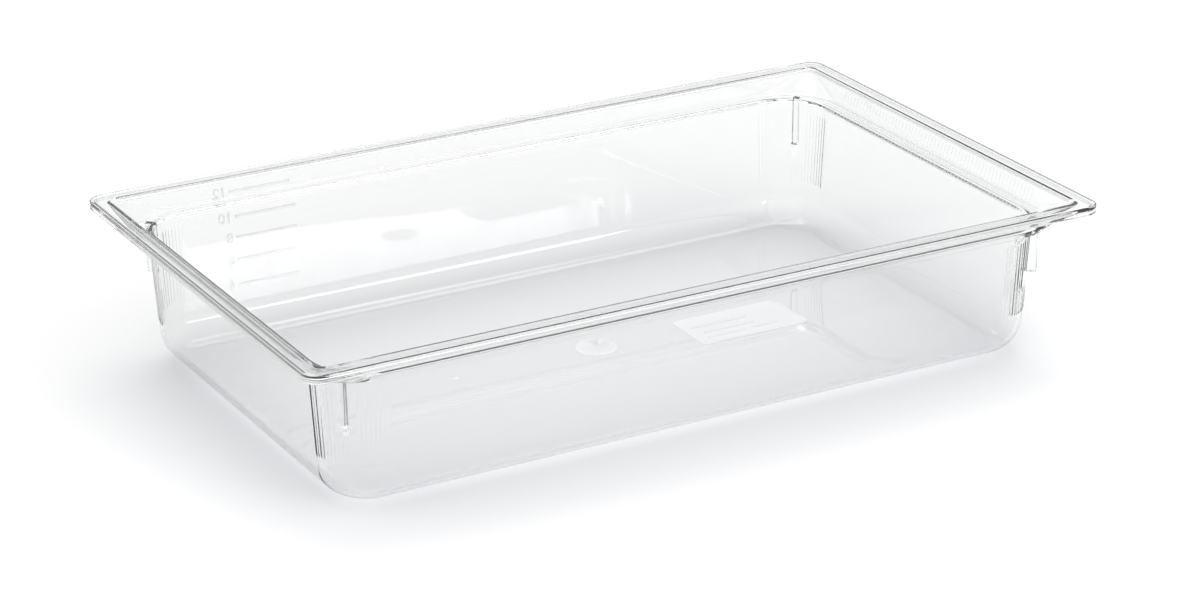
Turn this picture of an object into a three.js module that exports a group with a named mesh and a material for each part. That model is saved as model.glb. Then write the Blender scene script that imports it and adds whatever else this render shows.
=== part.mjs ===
// Clear food pan, full gastronorm size, 100 mm deep: one injection moulding.
// The moulding is modelled as its zones, which meet face to face: rim flange, shoulder,
// four wall panels, four corner walls, base curve, floor panel and four stacking lugs.
// Millimetres, +Z up. The origin is the centre of the underside, on the table.
import * as THREE from 'three';

// Rim, seen from above; its corner radius shrinks by this share of the way in
const rimHalfLength = 265;
const rimHalfWidth = 162.5;
const rimCornerRadius = 10;
const rimCornerTightening = 0.25;

// Heights above the table
const rimTop = 100;
const shoulderTop = 86.5;

// Plastic thickness
const wallThickness = 3;
const skirtThickness = 2.8;

// Rim section: a flat land between two rounded edges, with a short skirt outside
const outerEdgeRadius = 3.1;
const innerEdgeRadius = 3;
const landInset = 9.5;
const skirtHeight = 5.8;

// Shoulder: the band under the rim steps in to a ledge, with a sloping pad in each corner
const bandFootHalfLength = 249.5;
const bandFootHalfWidth = 149;
const bandFootCornerRadius = 36;

// Body, outside, under the shoulder
const bodyHalfLength = 242.5;
const bodyHalfWidth = 145;
const bodyCornerRadius = 35;
const draftSlope = Math.tan(THREE.MathUtils.degToRad(3.5));
const baseRadius = 22;

// Stacking lugs: a fin on the diagonal outside each corner, its outer edge upright
const lugReach = 39.5;
const lugFoot = 54;
const lugThickness = 4;

// Facets in a quarter turn
const cornerFacets = 10;
const baseFacets = 6;
const edgeFacets = 3;

const bodyTop = shoulderTop - wallThickness;
const wallFoot = baseRadius;
const columnsPerCorner = cornerFacets + 1;
const columnCount = 4 * columnsPerCorner;

const clearPlastic = { roughness: 0.08, metalness: 0, transparent: true, opacity: 0.4 };

// A section is a level rounded rectangle: half length, half width, corner radius, height.
function section(halfLength, halfWidth, radius, z) {
  return { halfLength, halfWidth, radius, z };
}

// The rim outline moved in by inset, at height z. Its corners tighten a little on the way in.
function rimSection(inset, z) {
  const radius = rimCornerRadius - inset * rimCornerTightening;
  return section(rimHalfLength - inset, rimHalfWidth - inset, radius, z);
}

// The drafted body outline moved in by inset, at height z.
function bodySection(inset, z) {
  const drawnIn = inset + (bodyTop - z) * draftSlope;
  return section(bodyHalfLength - drawnIn, bodyHalfWidth - drawnIn, bodyCornerRadius - drawnIn, z);
}

// Points of a section, counter-clockwise, corner by corner, from the back right corner on.
function outline({ halfLength, halfWidth, radius, z }) {
  const points = [];
  for (let corner = 0; corner < 4; corner++) {
    const start = corner * Math.PI / 2;
    const sideX = corner === 0 || corner === 3 ? 1 : -1;
    const sideY = corner < 2 ? 1 : -1;
    const centreX = sideX * (halfLength - radius);
    const centreY = sideY * (halfWidth - radius);
    const arc = new THREE.ArcCurve(centreX, centreY, radius, start, start + Math.PI / 2);
    for (const point of arc.getPoints(cornerFacets)) {
      points.push(new THREE.Vector3(point.x, point.y, z));
    }
  }
  return points;
}

// Angles that split a quarter turn into equal facets, both ends included.
function quarterTurn(facets) {
  return Array.from({ length: facets + 1 }, (_, step) => step * Math.PI / 2 / facets);
}

// A run of plastic. Its cross-section's corners are the given sections, counter-clockwise
// when +X points outwards. It covers the given columns of the outline, and its ends are
// capped; a run over every column closes on itself instead.
function runGeometry(sections, firstColumn, columns) {
  const outlines = sections.map(outline);
  const rows = sections.length;
  const closed = columns === columnCount;
  const points = [];
  for (let column = firstColumn; column < firstColumn + columns; column++) {
    for (const loop of outlines) {
      points.push(loop[column % columnCount]);
    }
  }
  const indices = [];
  for (let span = 0; span < (closed ? columns : columns - 1); span++) {
    const here = span * rows;
    const next = ((span + 1) % columns) * rows;
    for (let row = 0; row < rows; row++) {
      const above = (row + 1) % rows;
      indices.push(here + row, next + row, next + above);
      indices.push(here + row, next + above, here + above);
    }
  }
  if (!closed) {
    const farEnd = (columns - 1) * rows;
    const profile = sections.map(({ halfWidth, z }) => new THREE.Vector2(halfWidth, z));
    for (const [a, b, c] of THREE.ShapeUtils.triangulateShape(profile, [])) {
      indices.push(a, b, c);
      indices.push(farEnd + a, farEnd + c, farEnd + b);
    }
  }
  const geometry = new THREE.BufferGeometry().setFromPoints(points);
  geometry.setIndex(indices);
  geometry.computeVertexNormals();
  return geometry;
}

function ringGeometry(sections) {
  return runGeometry(sections, 0, columnCount);
}

// Rim: flat land, rounded outer edge that turns down into the skirt, rounded inner edge.
function rimSections() {
  const innerInset = landInset + innerEdgeRadius;
  const underside = rimTop - wallThickness;
  const outerArc = quarterTurn(edgeFacets).map((turn) => rimSection(
    outerEdgeRadius * (1 - Math.cos(turn)),
    rimTop - outerEdgeRadius * (1 - Math.sin(turn)),
  ));
  const innerArc = quarterTurn(edgeFacets).map((turn) => rimSection(
    innerInset - innerEdgeRadius * (1 - Math.sin(turn)),
    rimTop - innerEdgeRadius * (1 - Math.cos(turn)),
  ));
  return [
    rimSection(skirtThickness, rimTop - skirtHeight),
    rimSection(0, rimTop - skirtHeight),
    ...outerArc,
    ...innerArc,
    rimSection(innerInset - wallThickness, underside),
    rimSection(skirtThickness, underside),
  ];
}

// Shoulder: the band under the rim, its sloping corner pads, and the ledge at its foot.
function shoulderSections() {
  const bandTop = rimTop - wallThickness;
  const innerInset = landInset + innerEdgeRadius;
  const bandFoot = (outward, z) => section(
    bandFootHalfLength + outward,
    bandFootHalfWidth + outward,
    bandFootCornerRadius + outward,
    z,
  );
  return [
    bodySection(wallThickness, bodyTop),
    bodySection(0, bodyTop),
    bandFoot(wallThickness, bodyTop),
    rimSection(innerInset - wallThickness, bandTop),
    rimSection(innerInset, bandTop),
    bandFoot(0, shoulderTop),
    bodySection(wallThickness, shoulderTop),
  ];
}

function wallSections() {
  return [
    bodySection(wallThickness, wallFoot),
    bodySection(0, wallFoot),
    bodySection(0, bodyTop),
    bodySection(wallThickness, bodyTop),
  ];
}

// Base curve: the wall turns into the floor round a large fillet, as deep as baseRadius.
function baseSections() {
  const turns = quarterTurn(baseFacets);
  const foot = bodySection(0, wallFoot);
  const filletSection = (radius, turn) => section(
    foot.halfLength - baseRadius + radius * Math.cos(turn),
    foot.halfWidth - baseRadius + radius * Math.cos(turn),
    foot.radius - baseRadius + radius * Math.cos(turn),
    baseRadius - radius * Math.sin(turn),
  );
  const outside = turns.map((turn) => filletSection(baseRadius, turn)).reverse();
  const inside = turns.map((turn) => filletSection(baseRadius - wallThickness, turn));
  return [...outside, ...inside];
}

function floorGeometry() {
  const edge = baseSections()[0];
  const shape = new THREE.Shape(outline(edge).map(({ x, y }) => new THREE.Vector2(x, y)));
  return new THREE.ExtrudeGeometry(shape, { depth: wallThickness, bevelEnabled: false });
}

// One lug, drawn in its own plane: x is the distance from the corner's centre, y is height.
function lugGeometry() {
  const wallRadius = (z) => bodySection(0, z).radius;
  const shape = new THREE.Shape([
    new THREE.Vector2(wallRadius(lugFoot), lugFoot),
    new THREE.Vector2(lugReach, lugFoot),
    new THREE.Vector2(lugReach, bodyTop),
    new THREE.Vector2(wallRadius(bodyTop), bodyTop),
  ]);
  const geometry = new THREE.ExtrudeGeometry(shape, { depth: lugThickness, bevelEnabled: false });
  geometry.translate(0, 0, -lugThickness / 2);
  geometry.rotateX(Math.PI / 2);
  return geometry;
}

const pan = new THREE.Group();

function addZone(name, geometry, color) {
  const plastic = new THREE.MeshStandardMaterial({ color, ...clearPlastic });
  const mesh = new THREE.Mesh(geometry, plastic);
  mesh.name = name;
  pan.add(mesh);
  return mesh;
}

addZone('rim_flange', ringGeometry(rimSections()), 0xeef1f4);
addZone('shoulder', ringGeometry(shoulderSections()), 0xe9edee);
addZone('base_curve', ringGeometry(baseSections()), 0xe3e3ea);
addZone('floor_panel', floorGeometry(), 0xe8eae9);

const corners = ['back_right', 'back_left', 'front_left', 'front_right'];
const sides = ['back', 'left', 'front', 'right'];
const cornerCentreX = bodyHalfLength - bodyCornerRadius;
const cornerCentreY = bodyHalfWidth - bodyCornerRadius;
corners.forEach((corner, index) => {
  const firstColumn = index * columnsPerCorner;
  const lastColumn = firstColumn + cornerFacets;
  const diagonal = (index + 0.5) * Math.PI / 2;
  addZone(`corner_${corner}`, runGeometry(wallSections(), firstColumn, columnsPerCorner), 0xe4e9e8);
  addZone(`${sides[index]}_wall`, runGeometry(wallSections(), lastColumn, 2), 0xeaeded);
  const lug = addZone(`stacking_lug_${corner}`, lugGeometry(), 0xdfe5e6);
  lug.position.set(
    Math.sign(Math.cos(diagonal)) * cornerCentreX,
    Math.sign(Math.sin(diagonal)) * cornerCentreY,
    0,
  );
  lug.rotation.z = diagonal;
});

export default pan;
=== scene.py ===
import math
import bpy
import numpy as np
from mathutils import Matrix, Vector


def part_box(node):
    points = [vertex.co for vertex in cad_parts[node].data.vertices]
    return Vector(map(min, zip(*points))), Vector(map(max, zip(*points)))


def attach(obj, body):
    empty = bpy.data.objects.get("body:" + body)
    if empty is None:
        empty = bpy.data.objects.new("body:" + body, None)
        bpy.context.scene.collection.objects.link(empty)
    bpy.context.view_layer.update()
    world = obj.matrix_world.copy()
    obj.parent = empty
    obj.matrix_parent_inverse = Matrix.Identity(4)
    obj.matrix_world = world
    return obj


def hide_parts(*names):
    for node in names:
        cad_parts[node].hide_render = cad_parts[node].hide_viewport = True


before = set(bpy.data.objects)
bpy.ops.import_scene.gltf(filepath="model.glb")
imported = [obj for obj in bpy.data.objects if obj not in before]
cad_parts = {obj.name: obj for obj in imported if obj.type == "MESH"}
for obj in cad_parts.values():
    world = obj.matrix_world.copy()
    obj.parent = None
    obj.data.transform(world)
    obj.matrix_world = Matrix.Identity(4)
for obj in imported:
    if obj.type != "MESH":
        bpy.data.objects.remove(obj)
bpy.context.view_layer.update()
mm = 0.001


class Wire:  # one socket of a material, which takes part in sums
    def __init__(self, board, socket):
        self.board = board
        self.socket = socket

    def calculate(self, operation, first, second):
        return self.board.node("ShaderNodeMath", {"operation": operation}, {0: first, 1: second})

    def __add__(self, other):
        return self.calculate("ADD", self, other)

    def __radd__(self, other):
        return self.calculate("ADD", other, self)

    def __sub__(self, other):
        return self.calculate("SUBTRACT", self, other)

    def __rsub__(self, other):
        return self.calculate("SUBTRACT", other, self)

    def __mul__(self, other):
        return self.calculate("MULTIPLY", self, other)

    def __rmul__(self, other):
        return self.calculate("MULTIPLY", other, self)


class Board:  # the node tree of a material or of the world
    def __init__(self, owner):
        owner.use_nodes = True
        self.tree = owner.node_tree
        self.tree.nodes.clear()

    def node(self, kind, settings=None, values=None, output=0):
        # One node: its settings first, then its sockets' numbers or links
        made = self.tree.nodes.new(kind)
        for key, value in (settings or {}).items():
            setattr(made, key, value)
        for key, value in (values or {}).items():
            if isinstance(value, Wire):
                self.tree.links.new(value.socket, made.inputs[key])
            else:
                made.inputs[key].default_value = value
        return Wire(self, made.outputs[output]) if made.outputs else None


def standing(right, up, back, at):
    # Matrix whose columns are an object's three axes and its place
    columns = np.column_stack([right, up, back, at])
    return Matrix(np.vstack([columns, (0, 0, 0, 1)]).tolist())


# Camera: it stands back from the aim along azimuth and elevation, and leans by roll
cameraPlan = {
    "aim": (-22.374 * mm, -38.358 * mm, 50 * mm),
    "distance": 2.16545,
    "azimuth": -28.929,
    "elevation": 22.1485,
    "roll": -0.4832,
    "lens": 109.464,
    "sensor": 36,
    "farLimit": 100,
}


def makeCamera(plan):
    # Its axes are the way back from the aim, and right and up turned about it by the roll
    azimuth, elevation, roll = (math.radians(plan[key]) for key in ("azimuth", "elevation", "roll"))
    back = np.array([
        math.sin(azimuth) * math.cos(elevation),
        -math.cos(azimuth) * math.cos(elevation),
        math.sin(elevation),
    ])
    level = np.cross((0, 0, 1), back)
    level /= np.linalg.norm(level)
    upright = np.cross(back, level)
    right = math.cos(roll) * level + math.sin(roll) * upright
    up = math.cos(roll) * upright - math.sin(roll) * level
    lens = bpy.data.cameras.new("camera")
    lens.lens = plan["lens"]
    lens.sensor_width = plan["sensor"]
    lens.clip_end = plan["farLimit"]
    camera = bpy.data.objects.new("camera", lens)
    bpy.context.collection.objects.link(camera)
    at = np.array(plan["aim"]) + plan["distance"] * back
    camera.matrix_world = standing(right, up, back, at)
    bpy.context.scene.camera = camera


makeCamera(cameraPlan)
print("camera ready")


# Sizes that the frame gives, in metres
rimLow, rimHigh = (np.array(corner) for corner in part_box("rim_flange"))
shoulderLow, shoulderHigh = (np.array(corner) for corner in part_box("shoulder"))
baseHigh = np.array(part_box("base_curve")[1])
floorHigh = np.array(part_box("floor_panel")[1])
sideHigh = np.array(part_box("right_wall")[1])
backHigh = np.array(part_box("back_wall")[1])

wall = floorHigh[2]
bodyTop = shoulderLow[2]
shoulderTop = bodyTop + wall
landUnder = shoulderHigh[2]
landInset = rimHigh[0] - shoulderHigh[0]
baseRadius = baseHigh[2]
bodyHalf = np.array([sideHigh[0], backHigh[1]])
draft = (bodyHalf[0] - baseHigh[0]) / (bodyTop - baseRadius)

moulding = {
    "rimCorner": 10 * mm,
    "rimTightening": 0.25,
    "bandFoot": (249.5 * mm, 149 * mm),
    "bandFootCorner": 36 * mm,
    "bodyCorner": 35 * mm,
    "outerEdge": 1.1 * mm,
    "innerEdge": 3 * mm,
    "skirtWall": 2.8 * mm,
    "skirtTip": 0.8 * mm,
    "hollow": 1 * mm,
    "ledgeEdge": 1.2 * mm,
    "bandFillet": 2 * mm,
    "shoulderEdge": 1.2 * mm,
    "neckFillet": 2 * mm,
    "bandFilletTurn": 80,
    "floorShares": (0, 0.3, 0.6, 0.85, 0.97),
    "wallShares": (0.06, 0.4, 0.8),
    "bandShares": (0.2, 0.6),
    "longColumns": 10,
}
facets = {  # steps round the arc of each edge
    "insideFillet": 12,
    "outsideFillet": 14,
    "ledgeEdge": 4,
    "bandFillet": 6,
    "innerEdge": 9,
    "outerEdge": 9,
    "skirt": 3,
    "shoulderEdge": 6,
    "neck": 4,
}
flutes = {  # upright ribs moulded outside each corner
    "count": 19,
    "samples": 4,
    "relief": 0.42 * mm,
    "foot": 27 * mm,
    "head": 78 * mm,
    "bareHalf": 11.84,
    "bareFoot": 43 * mm,
    "fade": 2.5 * mm,
}
fin = {  # stacking lug on the diagonal outside each corner
    "reach": 39.5 * mm,
    "foot": 54 * mm,
    "edge": 0.5 * mm,
    "footRise": (1, 0.3, 0, -0.2),
    "footDraw": (0, 0.3, 1),
    "angles": (0, 2.6, 3.1, 3.3),
    "share": (1, 1, 0.88, 0),
}
bandRibs = {  # fine upright ribs outside the band at both short ends
    "pitch": 3.8 * mm,
    "half": 108 * mm,
    "samples": 3,
    "relief": 0.32 * mm,
    "foot": 85 * mm,
    "head": 94.4 * mm,
    "middles": (90 * mm, 87.6 * mm),
    "fade": 1 * mm,
}


def levels(halfX, halfY, radius, z, spread=1, finReach=0, flute=0, bare=0, rib=0):
    # One row for each height: half length, half width, corner radius, height, how far the
    # fixed columns are drawn in, the fin's reach, and the shares of flute, bare and rib relief
    values = (halfX, halfY, radius, z, spread, finReach, flute, bare, rib)
    return np.stack(np.broadcast_arrays(*map(np.atleast_1d, values)), 1).astype(float)


def rimLevels(inset, z, **relief):
    # The rim outline moved in by inset, whose corners tighten a little on the way in
    inset = np.asarray(inset, float)
    radius = moulding["rimCorner"] - inset * moulding["rimTightening"]
    return levels(rimHigh[0] - inset, rimHigh[1] - inset, radius, z, **relief)


def footLevels(outward, z, **relief):
    # The outline where the band meets the ledge, moved out
    outward = np.asarray(outward, float)
    x, y = moulding["bandFoot"]
    return levels(x + outward, y + outward, moulding["bandFootCorner"] + outward, z, **relief)


def bodyLevels(outward, z, **relief):
    # The body outline moved out from the wall's outer face, which leans in by the draft
    shift = np.asarray(outward, float) - (bodyTop - np.asarray(z, float)) * draft
    return levels(bodyHalf[0] + shift, bodyHalf[1] + shift, moulding["bodyCorner"] + shift, z, **relief)


def turn(end, steps):
    # Cosines and sines of evenly spaced angles from 0 to end, in degrees
    angles = np.radians(np.linspace(0, end, steps + 1))
    return np.cos(angles), np.sin(angles)


def between(start, end, shares):
    # Rows at those shares of the way from one row to another
    shares = np.asarray(shares, float)[:, None]
    return start * (1 - shares) + end * shares


def ramp(z, low, high):
    # 0 below low and 1 above high, straight between them; the other way round if low is above high
    return np.clip((np.asarray(z, float) - low) / (high - low), 0, 1)


def filletLevels(radius, steps):
    # Quarter circle about the base curve's centre, from the wall down to the floor
    cosine, sine = turn(90, steps)
    reach = radius * cosine - baseRadius
    corner = moulding["bodyCorner"] - bodyHalf[0] + baseHigh[0]
    return levels(baseHigh[0] + reach, baseHigh[1] + reach, corner + reach, baseRadius - radius * sine)


def floorRings(edge, shares):
    # The floor's edge row drawn in to each share of its size
    shares = np.asarray(shares, float)
    return levels(edge[0] * shares, edge[1] * shares, edge[2] * shares, edge[3], shares)


def insideLevels():
    # Inner skin, from the middle of the floor up to the inner edge of the land: arcs at the
    # floor, at the ledge's edge, at the foot of the band and at the land's inner edge
    fillet = filletLevels(baseRadius - wall, facets["insideFillet"])[::-1]
    edge, hollow, lip = moulding["ledgeEdge"], moulding["bandFillet"], moulding["innerEdge"]
    wallHeights = between(baseRadius, shoulderTop - edge, moulding["wallShares"])[:, 0]
    edgeCos, edgeSin = turn(90, facets["ledgeEdge"])
    hollowCos, hollowSin = turn(moulding["bandFilletTurn"], facets["bandFillet"])
    lipCos, lipSin = turn(90, facets["innerEdge"])
    bandFoot = footLevels(-hollow * (1 - hollowSin), shoulderTop + hollow * (1 - hollowCos))
    lipLevels = rimLevels(landInset + lip * lipCos, landUnder + lip * lipSin)
    return np.vstack([
        floorRings(fillet[0], moulding["floorShares"]),
        fillet,
        bodyLevels(-wall, wallHeights),
        bodyLevels(-wall + edge * (1 - edgeCos), shoulderTop - edge * (1 - edgeSin)),
        bandFoot,
        between(bandFoot[-1], lipLevels[0], moulding["bandShares"]),
        lipLevels,
    ])


def bandOutside():
    # Outer face of the band, from under the land to the shoulder's rounded edge, with the
    # share of rib relief for each height
    edge = moulding["shoulderEdge"]
    start = rimLevels(landInset, landUnder - moulding["hollow"])[0]
    end = footLevels(wall, bodyTop + edge)[0]
    heights = np.array([bandRibs["head"], bandRibs["head"] - bandRibs["fade"], *bandRibs["middles"]])
    band = between(start, end, (start[3] - heights) / (start[3] - end[3]))
    cosine, sine = turn(90, facets["shoulderEdge"])
    shoulder = footLevels(wall * cosine, bodyTop + edge * (1 - sine))
    rows = np.vstack([band, shoulder])
    z = rows[:, 3]
    ribShare = ramp(z, bandRibs["foot"], bandRibs["foot"] + bandRibs["fade"])
    ribShare *= ramp(z, bandRibs["head"], bandRibs["head"] - bandRibs["fade"])
    rows[:, -1] = ribShare
    return rows


def wallOutside():
    # Outer face of the body, from the neck under the ledge to the base curve: the fin's
    # reach stops at its foot, and flutes fade in and out over a short height
    neck = moulding["neckFillet"]
    cosine, sine = turn(90, facets["neck"])
    neckHeights = bodyTop - neck * (1 - cosine)
    fading = np.array([0, 1, 2, 3]) / 3 * flutes["fade"]
    heights = np.concatenate([
        flutes["head"] - fading,
        fin["foot"] + fin["edge"] * np.array(fin["footRise"]),
        flutes["bareFoot"] - fading,
        flutes["foot"] + fading[::-1],
    ])
    reach = np.concatenate([
        np.full(len(fading), fin["reach"]),
        fin["reach"] - fin["edge"] * np.array(fin["footDraw"]),
        np.zeros(2 * len(fading) + 1),
    ])
    flute = ramp(heights, flutes["head"], flutes["head"] - flutes["fade"])
    flute *= ramp(heights, flutes["foot"], flutes["foot"] + flutes["fade"])
    bare = flute * ramp(heights, flutes["bareFoot"], flutes["bareFoot"] - flutes["fade"])
    return np.vstack([
        bodyLevels(neck * (1 - sine), neckHeights, finReach=fin["reach"]),
        bodyLevels(0, heights, finReach=reach, flute=flute, bare=bare),
    ])


def outsideLevels():
    # Outer skin, from the outer edge of the land down to the middle of the underside
    edge, skirt = moulding["outerEdge"], moulding["skirtWall"]
    tip, hollow = moulding["skirtTip"], moulding["hollow"]
    skirtFoot = rimLow[2]
    edgeCos, edgeSin = turn(90, facets["outerEdge"])
    tipCos, tipSin = turn(90, facets["skirt"])
    fillet = filletLevels(baseRadius, facets["outsideFillet"])
    return np.vstack([
        rimLevels(edge * (1 - edgeSin), rimHigh[2] - edge * (1 - edgeCos)),
        rimLevels(tip * (1 - tipCos), skirtFoot + tip * (1 - tipSin)),
        rimLevels(skirt - tip * (1 - tipSin), skirtFoot + tip * (1 - tipCos)),
        rimLevels(skirt + hollow * (1 - tipCos), landUnder - hollow * (1 - tipSin)),
        rimLevels(landInset - hollow * (1 - tipSin), landUnder - hollow * (1 - tipCos)),
        bandOutside(),
        wallOutside(),
        fillet,
        floorRings(fillet[-1], moulding["floorShares"][::-1]),
    ])


def outlineColumns():
    # Columns round the pan, counter-clockwise from the back right corner: the angle that
    # each faces, the corner it belongs to, its fixed place, and its share of each relief
    fineCount = flutes["count"] * flutes["samples"]
    fine = np.arange(fineCount + 1) * 90 / fineCount
    finEdges = np.array(fin["angles"][1:])
    local = np.unique(np.round(np.concatenate([fine, 45 - finEdges, 45 + finEdges]), 5))
    wave = (1 - np.cos(np.radians(local) * 4 * flutes["count"])) / 2
    isBare = np.abs(local - 45) < flutes["bareHalf"]
    finShare = np.interp(np.abs(local - 45), fin["angles"], fin["share"])
    half = bandRibs["half"]
    ribCount = round(2 * half / bandRibs["pitch"])
    fixed = np.linspace(-1, 1, ribCount * bandRibs["samples"] + 1) * half
    ribWave = (1 - np.cos(2 * math.pi * (fixed + half) * ribCount / (2 * half))) / 2
    longSide = np.linspace(1, -1, moulding["longColumns"] + 2)[1:-1]
    parts = []
    for corner in range(4):
        start = math.radians(90 * corner)
        signX, signY = ((1, 1), (-1, 1), (-1, -1), (1, -1))[corner]
        zero = np.zeros(len(local))
        parts.append(np.stack([
            start + np.radians(local), zero + signX, zero + signY, zero,
            wave * ~isBare, wave * isBare, finShare, zero,
        ]))
        facing = start + math.pi / 2
        if corner % 2 == 0:
            zero = np.zeros(len(longSide))
            side = [zero + facing, longSide * signX, zero + signY, *[zero] * 5]
        else:
            zero = np.zeros(len(fixed))
            side = [zero + facing, zero + signX, zero, -fixed * signY, *[zero] * 3, ribWave]
        parts.append(np.stack(side))
    return np.hstack(parts)


def panPoints(rows, columns):
    # A point is its corner's centre plus the corner radius, and any relief, along the way
    # that its column faces
    halfX, halfY, radius, z, spread, finReach, flute, bare, rib = (part[:, None] for part in rows.T)
    angle, signX, signY, fixedY, fluteWave, bareWave, finShare, ribWave = (part[None] for part in columns)
    relief = flutes["relief"] * (flute * fluteWave + bare * bareWave) + bandRibs["relief"] * rib * ribWave
    relief = np.maximum(relief, np.clip(finReach - radius, 0, None) * finShare)
    x = signX * (halfX - radius) + (radius + relief) * np.cos(angle)
    y = signY * (halfY - radius) + fixedY * spread + (radius + relief) * np.sin(angle)
    return np.stack([x, y, z + 0 * x], 2)


def closedGrid(name, points):
    # A closed skin from a grid that wraps round its columns; its first and last rows are
    # single points. Normals are the faces' own, weighted by area, so that flats stay flat
    rows, columns = points.shape[:2]
    body = points[1:-1].reshape(-1, 3)
    ends = np.array([points[0, 0], points[-1, 0]])
    vertices = np.vstack([body, ends])
    row = np.arange(rows - 3)[:, None] * columns
    here = np.arange(columns)[None]
    after = (here + 1) % columns
    corners = [row + here, row + columns + here, row + columns + after, row + after]
    quads = np.stack(corners, 2).reshape(-1, 4)
    first, last = len(body), len(body) + 1
    lastRow = (rows - 3) * columns
    here, after = here[0], after[0]
    caps = np.vstack([
        np.stack([np.full(columns, first), here, after], 1),
        np.stack([np.full(columns, last), lastRow + after, lastRow + here], 1),
    ])
    mesh = bpy.data.meshes.new(name)
    mesh.from_pydata(vertices.tolist(), [], quads.tolist() + caps.tolist())
    across = vertices[quads[:, 2]] - vertices[quads[:, 0]]
    along = vertices[quads[:, 3]] - vertices[quads[:, 1]]
    quadNormals = np.cross(across, along)
    capNormals = np.cross(*(vertices[caps[:, side]] - vertices[caps[:, 0]] for side in (1, 2)))
    normals = np.zeros_like(vertices)
    for faces, faceNormals in ((quads, quadNormals), (caps, capNormals)):
        for corner in range(faces.shape[1]):
            np.add.at(normals, faces[:, corner], faceNormals)
    normals /= np.linalg.norm(normals, axis=1)[:, None]
    mesh.polygons.foreach_set("use_smooth", [True] * len(mesh.polygons))
    mesh.normals_split_custom_set_from_vertices(normals.tolist())
    piece = bpy.data.objects.new(name, mesh)
    bpy.context.collection.objects.link(piece)
    return piece


def place(piece, material, slot, *nodes):
    # A finished piece: its material, its body and the nodes that it stands for. Its slot is not used
    piece.data.materials.append(material)
    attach(piece, "root")
    if nodes:
        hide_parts(*nodes)


boss = {  # a mark's outline: degrees between its columns, and a nudge off the two axes
    "step": 7.5,
    "nudge": 1e-6,
}


def slab(name, half, corner, profile, lift, axes=None, at=(0, 0, 0)):
    # A flat boss: a rounded rectangle whose rows are insets from its outline and heights,
    # from the middle of its top to the middle of its back, set down on axes at a place
    inset, height = np.array(profile, float).T
    rows = levels(half[0] - inset, half[1] - inset, np.clip(corner - inset, 0, None), height + lift)
    angle = np.radians(np.arange(0, 360, boss["step"]))
    signX, signY = np.sign(np.cos(angle + boss["nudge"])), np.sign(np.sin(angle + boss["nudge"]))
    halfX, halfY, radius, z = (part[:, None] for part in rows[:, :4].T)
    x = signX * (halfX - radius) + radius * np.cos(angle)
    y = signY * (halfY - radius) + radius * np.sin(angle)
    grid = np.stack([x, y, z + 0 * x], 2)
    middle = grid.mean(1, keepdims=True) * (1, 1, 0)
    top, back = grid[:1] * (0, 0, 1) + middle[:1], grid[-1:] * (0, 0, 1) + middle[-1:]
    points = np.concatenate([top + 0 * grid[:1], grid, back + 0 * grid[:1]])
    axes = np.eye(3) if axes is None else np.array(axes, float)
    return closedGrid(name, points @ axes + np.array(at, float))


# Clear plastic: colourless, with a faint blue-green that shows along long ways through it
plasticFinish = {
    "color": (0.915, 0.918, 0.918, 1),
    "ior": 1.585,
    "absorb": (0.80, 0.86, 0.86, 1),
    "density": 14.0,
    "hazy": 0.015,
    "cloudScale": 14.0,
    "cloudDetail": 3.0,
    "frostSpread": 0.3,
    "rippleScale": 9.0,
    "rippleDetail": 1.0,
    "rippleDepth": 10 * mm,
    "ripple": 0.008,
    "shadeFloor": (0.96, 0.96, 0.97, 1),
    "shadeWalls": (0.68, 0.688, 0.705, 1),
    "shadeFade": 3 * mm,
}


def clearPlastic(name, finish, frost=0, milk=0):
    # Frost roughens the surface, and milk is the share of light that it scatters. Shadow and
    # diffuse rays meet a plain tint instead, darker above the floor, which sets the shadow
    material = bpy.data.materials.new(name)
    board = Board(material)
    point = board.node("ShaderNodeTexCoord", output=3)
    cloud = board.node("ShaderNodeTexNoise", {}, {
        "Vector": point, "Scale": finish["cloudScale"], "Detail": finish["cloudDetail"],
    })
    swell = board.node("ShaderNodeTexNoise", {}, {
        "Vector": point, "Scale": finish["rippleScale"], "Detail": finish["rippleDetail"],
    })
    bump = board.node("ShaderNodeBump", {}, {
        "Height": swell, "Strength": finish["ripple"], "Distance": finish["rippleDepth"],
    })
    haze = frost + cloud * (finish["hazy"] + frost * finish["frostSpread"])
    surface = board.node("ShaderNodeBsdfPrincipled", {}, {
        "Base Color": finish["color"],
        "Roughness": haze,
        "IOR": finish["ior"],
        "Transmission Weight": 1 - milk,
        "Normal": bump,
    })
    inside = board.node("ShaderNodeVolumeAbsorption", {}, {
        "Color": finish["absorb"],
        "Density": finish["density"],
    })
    height = board.node("ShaderNodeSeparateXYZ", {}, {0: point}, output=2)
    above = board.node("ShaderNodeMapRange", {"interpolation_type": "SMOOTHSTEP"}, {
        0: height, 1: wall, 2: wall + finish["shadeFade"], 3: 0.0, 4: 1.0,
    })
    shadeFloor = board.node("ShaderNodeBsdfTransparent", {}, {"Color": finish["shadeFloor"]})
    shadeWalls = board.node("ShaderNodeBsdfTransparent", {}, {"Color": finish["shadeWalls"]})
    shade = board.node("ShaderNodeMixShader", {}, {0: above, 1: shadeFloor, 2: shadeWalls})
    isShadow = board.node("ShaderNodeLightPath", output=1)
    isDiffuse = board.node("ShaderNodeLightPath", output=2)
    both = board.node("ShaderNodeMixShader", {}, {0: isShadow + isDiffuse, 1: surface, 2: shade})
    board.node("ShaderNodeOutputMaterial", {}, {"Surface": both, "Volume": inside})
    return material


clear = clearPlastic("clearPolycarbonate", plasticFinish)

shellPoints = panPoints(np.vstack([insideLevels(), outsideLevels()]), outlineColumns())
shell = closedGrid("panMoulding", shellPoints)
place(shell, clear, "clear_body", *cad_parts)
print("moulding made", shellPoints.shape)

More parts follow.
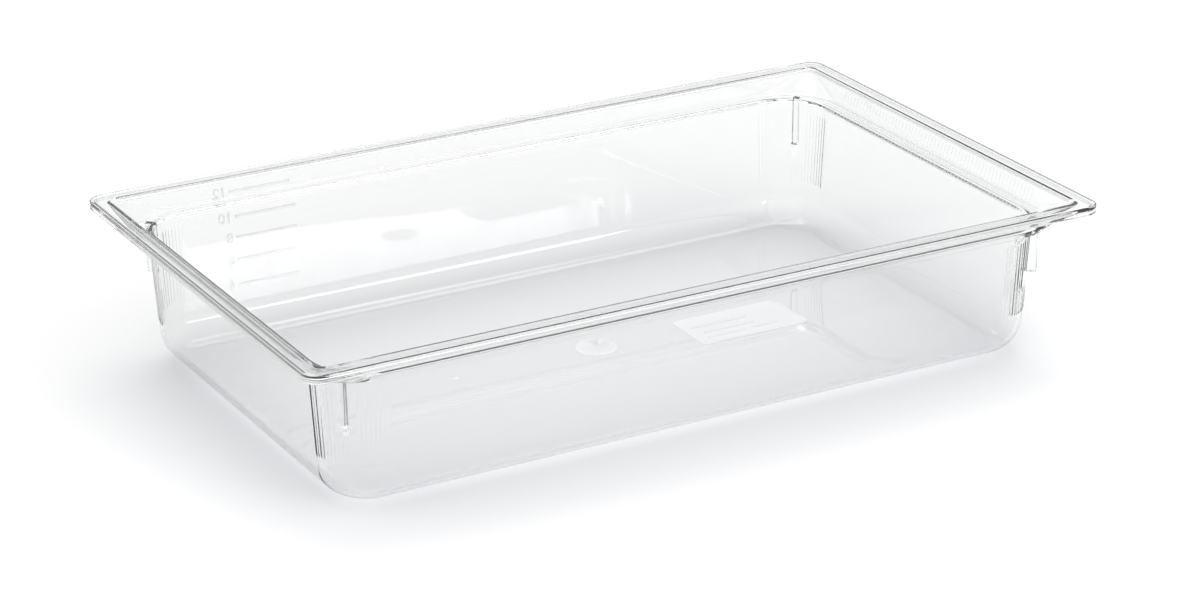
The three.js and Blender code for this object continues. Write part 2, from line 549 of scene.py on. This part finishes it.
# Marks moulded on the pan: each is a flat boss a hair clear of the face that it sits on
marks = {
    "lift": 0.02 * mm,
    "height": 0.35 * mm,
    "edge": 0.15 * mm,
    "endRadius": 0.4 * mm,
    "ridge": 0.9,
}
scale = {  # two litre steps outside the back wall, to be read from behind it
    "figures": ("12", "10", "8", "6", "4"),
    "heights": np.array([89.7, 76, 62.3, 48, 31.6]) * mm,
    "bar": (20.5 * mm, 0.9 * mm),
    "barMiddle": -153.5 * mm,
    "figureStart": -176 * mm,
    "figureSize": 9.5 * mm,
    "figureRise": -3.3 * mm,
}
gate = {  # a ring round the gate, raised on the floor
    "at": (2.5 * mm, 0.5 * mm),
    "outer": 13 * mm,
    "inner": 7.5 * mm,
    "foot": 0.08 * mm,
    "rise": 1.2,
    "outerSlope": 0.4 * mm,
    "innerSlope": 0.3 * mm,
}
pin = {"at": (-96 * mm, 2 * mm), "radius": 3 * mm, "rise": 0.6}
label = {
    "at": (100.5 * mm, -9.5 * mm),
    "half": (38.5 * mm, 20.5 * mm),
    "corner": 4 * mm,
    "border": 1.6 * mm,
    "bars": ((-16, -12, 14), (12, -11, 9), (-10, -4, 18), (-12, 6, 20)),
    "barHalf": 0.8 * mm,
    "borderTop": 0.35 * mm,
    "panelTop": 0.12 * mm,
    "slope": 0.2 * mm,
}

faceRows = np.vstack([bandOutside(), wallOutside()])[::-1]


def backFace(height):
    # Axes and distance of the back wall's outer face at a height, for marks read from behind
    step = 1 * mm
    reach = np.interp([height - step, height, height + step], faceRows[:, 3], faceRows[:, 1])
    up = np.array([0, reach[2] - reach[0], 2 * step])
    up /= np.linalg.norm(up)
    across = np.array([-1, 0, 0])
    return [across, up, np.cross(across, up)], reach[1]


def barProfile(half, rise=1):
    # A bar with chamfered top edges, from the middle of its top to the middle of its back
    edge = marks["edge"]
    top = marks["height"] * rise
    return [(half, top), (edge, top), (0, top - edge), (0, 0), (half, 0)]


def figure(name, body, size, axes, at):
    # Raised figures with a small bevel, turned to lie on a face
    font = bpy.data.curves.new(name, "FONT")
    font.body = body
    font.size = size
    font.extrude = marks["height"] / 2 - marks["edge"] / 2
    font.bevel_depth = marks["edge"] / 2
    drawn = bpy.data.objects.new(name, font)
    mesh = bpy.data.meshes.new_from_object(drawn)
    bpy.data.objects.remove(drawn)
    flat = np.zeros(3 * len(mesh.vertices))
    mesh.vertices.foreach_get("co", flat)
    points = flat.reshape(-1, 3) + (0, 0, marks["height"] / 2 + marks["lift"])
    points = points @ np.array(axes) + np.array(at)
    mesh.vertices.foreach_set("co", points.reshape(-1))
    mesh.update()
    made = bpy.data.objects.new(name, mesh)
    bpy.context.collection.objects.link(made)
    return made


for text, height in zip(scale["figures"], scale["heights"]):
    axes, reach = backFace(height)
    halfX, halfY = scale["bar"]
    profile = barProfile(halfY * marks["ridge"])
    bar = slab(f"scaleBar{text}", (halfX, halfY), marks["endRadius"], profile, marks["lift"], axes,
               (scale["barMiddle"], reach, height))
    place(bar, clear, "clear_body")
    foot = np.array([scale["figureStart"], reach, height]) + np.array(axes[1]) * scale["figureRise"]
    place(figure(f"scaleFigure{text}", text, scale["figureSize"], axes, foot), clear, "clear_body")

frosted = clearPlastic("frostedPolycarbonate", plasticFinish, frost=0.35, milk=0.25)

ringTop, ringFoot = gate["rise"] * marks["height"], gate["foot"]
ringWall = gate["outer"] - gate["inner"]
gateMark = slab("gateMark", (gate["outer"], gate["outer"]), gate["outer"], [
    (gate["outer"], ringFoot), (ringWall + gate["innerSlope"], ringFoot), (ringWall, ringTop),
    (gate["outerSlope"], ringTop), (0, ringFoot), (0, 0), (gate["outer"], 0),
], wall + marks["lift"], at=(*gate["at"], 0))
place(gateMark, frosted, "clear_base")

pinProfile = barProfile(pin["radius"], pin["rise"])
pinMark = slab("pinMark", (pin["radius"], pin["radius"]), pin["radius"], pinProfile,
               wall + marks["lift"], at=(*pin["at"], 0))
place(pinMark, frosted, "clear_base")

borderTop, panelTop = label["borderTop"], label["panelTop"]
border, slope = label["border"], label["slope"]
panel = slab("labelPanel", label["half"], label["corner"], [
    (label["corner"], panelTop), (border + slope, panelTop), (border, borderTop),
    (slope, borderTop), (0, panelTop), (0, 0), (label["corner"], 0),
], wall + marks["lift"], at=(*label["at"], 0))
place(panel, frosted, "clear_base")
labelBarProfile = barProfile(label["barHalf"] * marks["ridge"])
for index, (x, y, half) in enumerate(label["bars"]):
    spot = (label["at"][0] + x * mm, label["at"][1] + y * mm, 0)
    bar = slab(f"labelBar{index + 1}", (half * mm, label["barHalf"]), marks["endRadius"],
               labelBarProfile, wall + panelTop + 2 * marks["lift"], at=spot)
    place(bar, frosted, "clear_base")
print("marks made")


stage = {
    "reach": 12.0,
    "drop": 0.4 * mm,
    "squares": 8,
    "roughness": 0.9,
    # Painted shade: between these depths the floor's colour goes from the near colour to the darker far
    # one, standing in for weaker light behind the pan
    "gradeStart": -150 * mm,
    "gradeEnd": 250 * mm,
    "near": (0.97, 0.97, 0.97, 1),
    "farPaintedShade": (0.84, 0.84, 0.84, 1),
}


def makeFloor(plan):
    # A square grid a hair under the pan, whose colour grows darker from its near side to its far one:
    # painted shade that stands in for weaker light behind the pan
    squares = plan["squares"]
    count = squares + 1
    side = np.linspace(-plan["reach"], plan["reach"], count)
    x, y = np.meshgrid(side, side)
    points = np.stack([x, y, 0 * x - plan["drop"]], 2).reshape(-1, 3)
    here = (np.arange(squares)[:, None] * count + np.arange(squares)).reshape(-1)
    faces = np.stack([here, here + 1, here + count + 1, here + count], 1)
    mesh = bpy.data.meshes.new("floor")
    mesh.from_pydata(points.tolist(), [], faces.tolist())
    floor = bpy.data.objects.new("floor", mesh)
    bpy.context.collection.objects.link(floor)
    material = bpy.data.materials.new("paleFloorWithPaintedShade")
    board = Board(material)
    point = board.node("ShaderNodeTexCoord", output=3)
    depth = board.node("ShaderNodeSeparateXYZ", {}, {0: point}, output=1)
    # Painted shade: the share of the darker far colour, growing with depth behind the pan
    farPaintedShade = board.node("ShaderNodeMapRange", {"interpolation_type": "SMOOTHSTEP"}, {
        0: depth, 1: plan["gradeStart"], 2: plan["gradeEnd"], 3: 0.0, 4: 1.0,
    })
    color = board.node("ShaderNodeMix", {"data_type": "RGBA"}, {
        0: farPaintedShade, 6: plan["near"], 7: plan["farPaintedShade"],
    }, output=2)
    surface = board.node("ShaderNodeBsdfPrincipled", {}, {
        "Base Color": color, "Roughness": plan["roughness"], "Specular IOR Level": 0.0,
    })
    board.node("ShaderNodeOutputMaterial", {}, {"Surface": surface})
    mesh.materials.append(material)


makeFloor(stage)

light = {  # the sky's brightness each way, and the directions between which it changes
    "behind": 0.95,
    "front": 1.25,
    "above": 0.85,
    "frontLimit": -0.5,
    "behindLimit": 0.4,
    "aboveStart": 0.6,
    "aboveFull": 0.95,
}


def makeSky(plan):
    # Brightness by direction: strongest on the near side, weaker behind, weakest overhead
    world = bpy.data.worlds.new("studio")
    bpy.context.scene.world = world
    board = Board(world)
    direction = board.node("ShaderNodeTexCoord", output=0)
    depth = board.node("ShaderNodeSeparateXYZ", {}, {0: direction}, output=1)
    height = board.node("ShaderNodeSeparateXYZ", {}, {0: direction}, output=2)
    level = board.node("ShaderNodeMapRange", {"interpolation_type": "SMOOTHSTEP"}, {
        0: depth, 1: plan["frontLimit"], 2: plan["behindLimit"], 3: plan["front"], 4: plan["behind"],
    })
    top = board.node("ShaderNodeMapRange", {"interpolation_type": "SMOOTHSTEP"}, {
        0: height, 1: plan["aboveStart"], 2: plan["aboveFull"], 3: 0.0, 4: 1.0,
    })
    level = level + top * (plan["above"] - level)
    back = board.node("ShaderNodeBackground", {}, {"Color": (1, 1, 1, 1), "Strength": level})
    board.node("ShaderNodeOutputWorld", {}, {"Surface": back})


makeSky(light)


softboxes = {
    "topSoftbox": {"at": (1.1, 2.3, 5.0), "size": (4.4, 3.6), "watts": 106},
    "frontSoftbox": {"at": (0.98, -2.26, 0.85), "size": (0.78, 0.45), "watts": 4},
}


def softbox(name, plan):
    # A rectangle of light with two level edges, which faces the origin
    lamp = bpy.data.lights.new(name, "AREA")
    lamp.shape = "RECTANGLE"
    lamp.size, lamp.size_y = plan["size"]
    lamp.energy = plan["watts"]
    box = bpy.data.objects.new(name, lamp)
    bpy.context.collection.objects.link(box)
    back = np.array(plan["at"]) / np.linalg.norm(plan["at"])
    across = np.cross((0, 0, 1), back)
    across /= np.linalg.norm(across)
    box.matrix_world = standing(across, np.cross(back, across), back, plan["at"])


for name, plan in softboxes.items():
    softbox(name, plan)
print("floor, sky and softboxes ready")

bpy.context.scene.view_settings.view_transform = "Standard"
bpy.context.scene.view_settings.look = "None"
